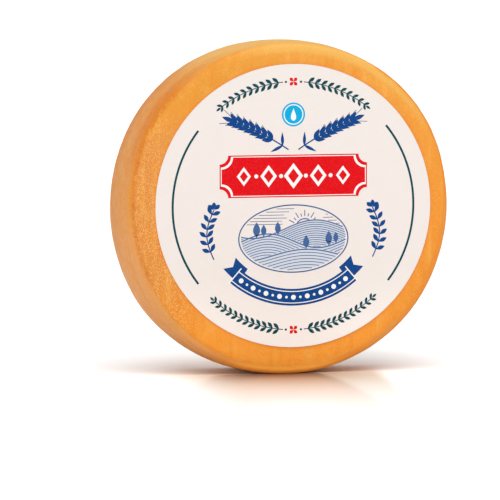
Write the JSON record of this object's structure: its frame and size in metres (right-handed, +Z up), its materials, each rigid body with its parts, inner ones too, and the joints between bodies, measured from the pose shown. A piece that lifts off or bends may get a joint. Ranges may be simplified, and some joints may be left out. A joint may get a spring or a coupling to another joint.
{
  "type": "trappist cheese wheel",
  "caption": "Whole washed-rind cheese wheel standing on its rim, with a slightly bulging side, soft edges and a round paper label on its front face.",
  "frame": {"origin": "bottom centre of the whole, on the surface that the rim stands on", "axes": "+Z up; the wheel's axis runs along Y, the labelled face looks along -Y, and +X is to the right seen from the front"},
  "size_m": [0.2286, 0.0582, 0.2278],
  "materials": {
    "rind": "satin",
    "label_paper": "matte"
  },
  "bodies": {
    "root": {"cheese_wheel": "rind", "paper_label": "label_paper"}
  },
  "joints": []
}
